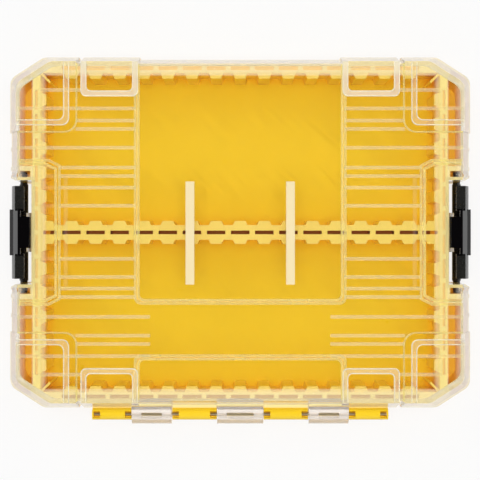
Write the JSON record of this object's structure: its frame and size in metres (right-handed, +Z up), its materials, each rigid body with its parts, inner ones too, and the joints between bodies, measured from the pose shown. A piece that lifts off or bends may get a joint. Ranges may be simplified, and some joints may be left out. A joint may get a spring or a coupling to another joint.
{
  "type": "bit storage case",
  "caption": "Flat case with a toothed double-bay tray, a clear hinged lid and a snap latch on each short side, for storing screwdriver bits.",
  "frame": {"origin": "under the middle of the body, on the face the case lies on", "axes": "+X towards the right latch, +Y from the hinge to the front, +Z up out of the lid"},
  "size_m": [0.31, 0.2468, 0.058],
  "materials": {
    "tray_plastic": "satin yellow moulded plastic",
    "clear_plastic": "clear polycarbonate, glossy",
    "pin_steel": "plain drawn steel wire",
    "latch_plastic": "black moulded plastic, fine texture"
  },
  "bodies": {
    "base": {"base_tray": "tray_plastic", "hinge_pin": "pin_steel"},
    "lid": {"lid": "clear_plastic"},
    "latch_left": {"latch_left": "latch_plastic"},
    "latch_right": {"latch_right": "latch_plastic"}
  },
  "joints": [
    {"name": "lid_hinge", "type": "hinge", "parent": "base", "child": "lid", "pos_m": [0, -0.1224, 0.0371], "axis": [1, 0, 0], "range_deg": [0, 180]},
    {"name": "latch_left_hinge", "type": "hinge", "parent": "base", "child": "latch_left", "pos_m": [-0.1486, 0, 0.02], "axis": [0, -1, 0], "range_deg": [0, 110]},
    {"name": "latch_right_hinge", "type": "hinge", "parent": "base", "child": "latch_right", "pos_m": [0.1486, 0, 0.02], "axis": [0, 1, 0], "range_deg": [0, 110]}
  ]
}
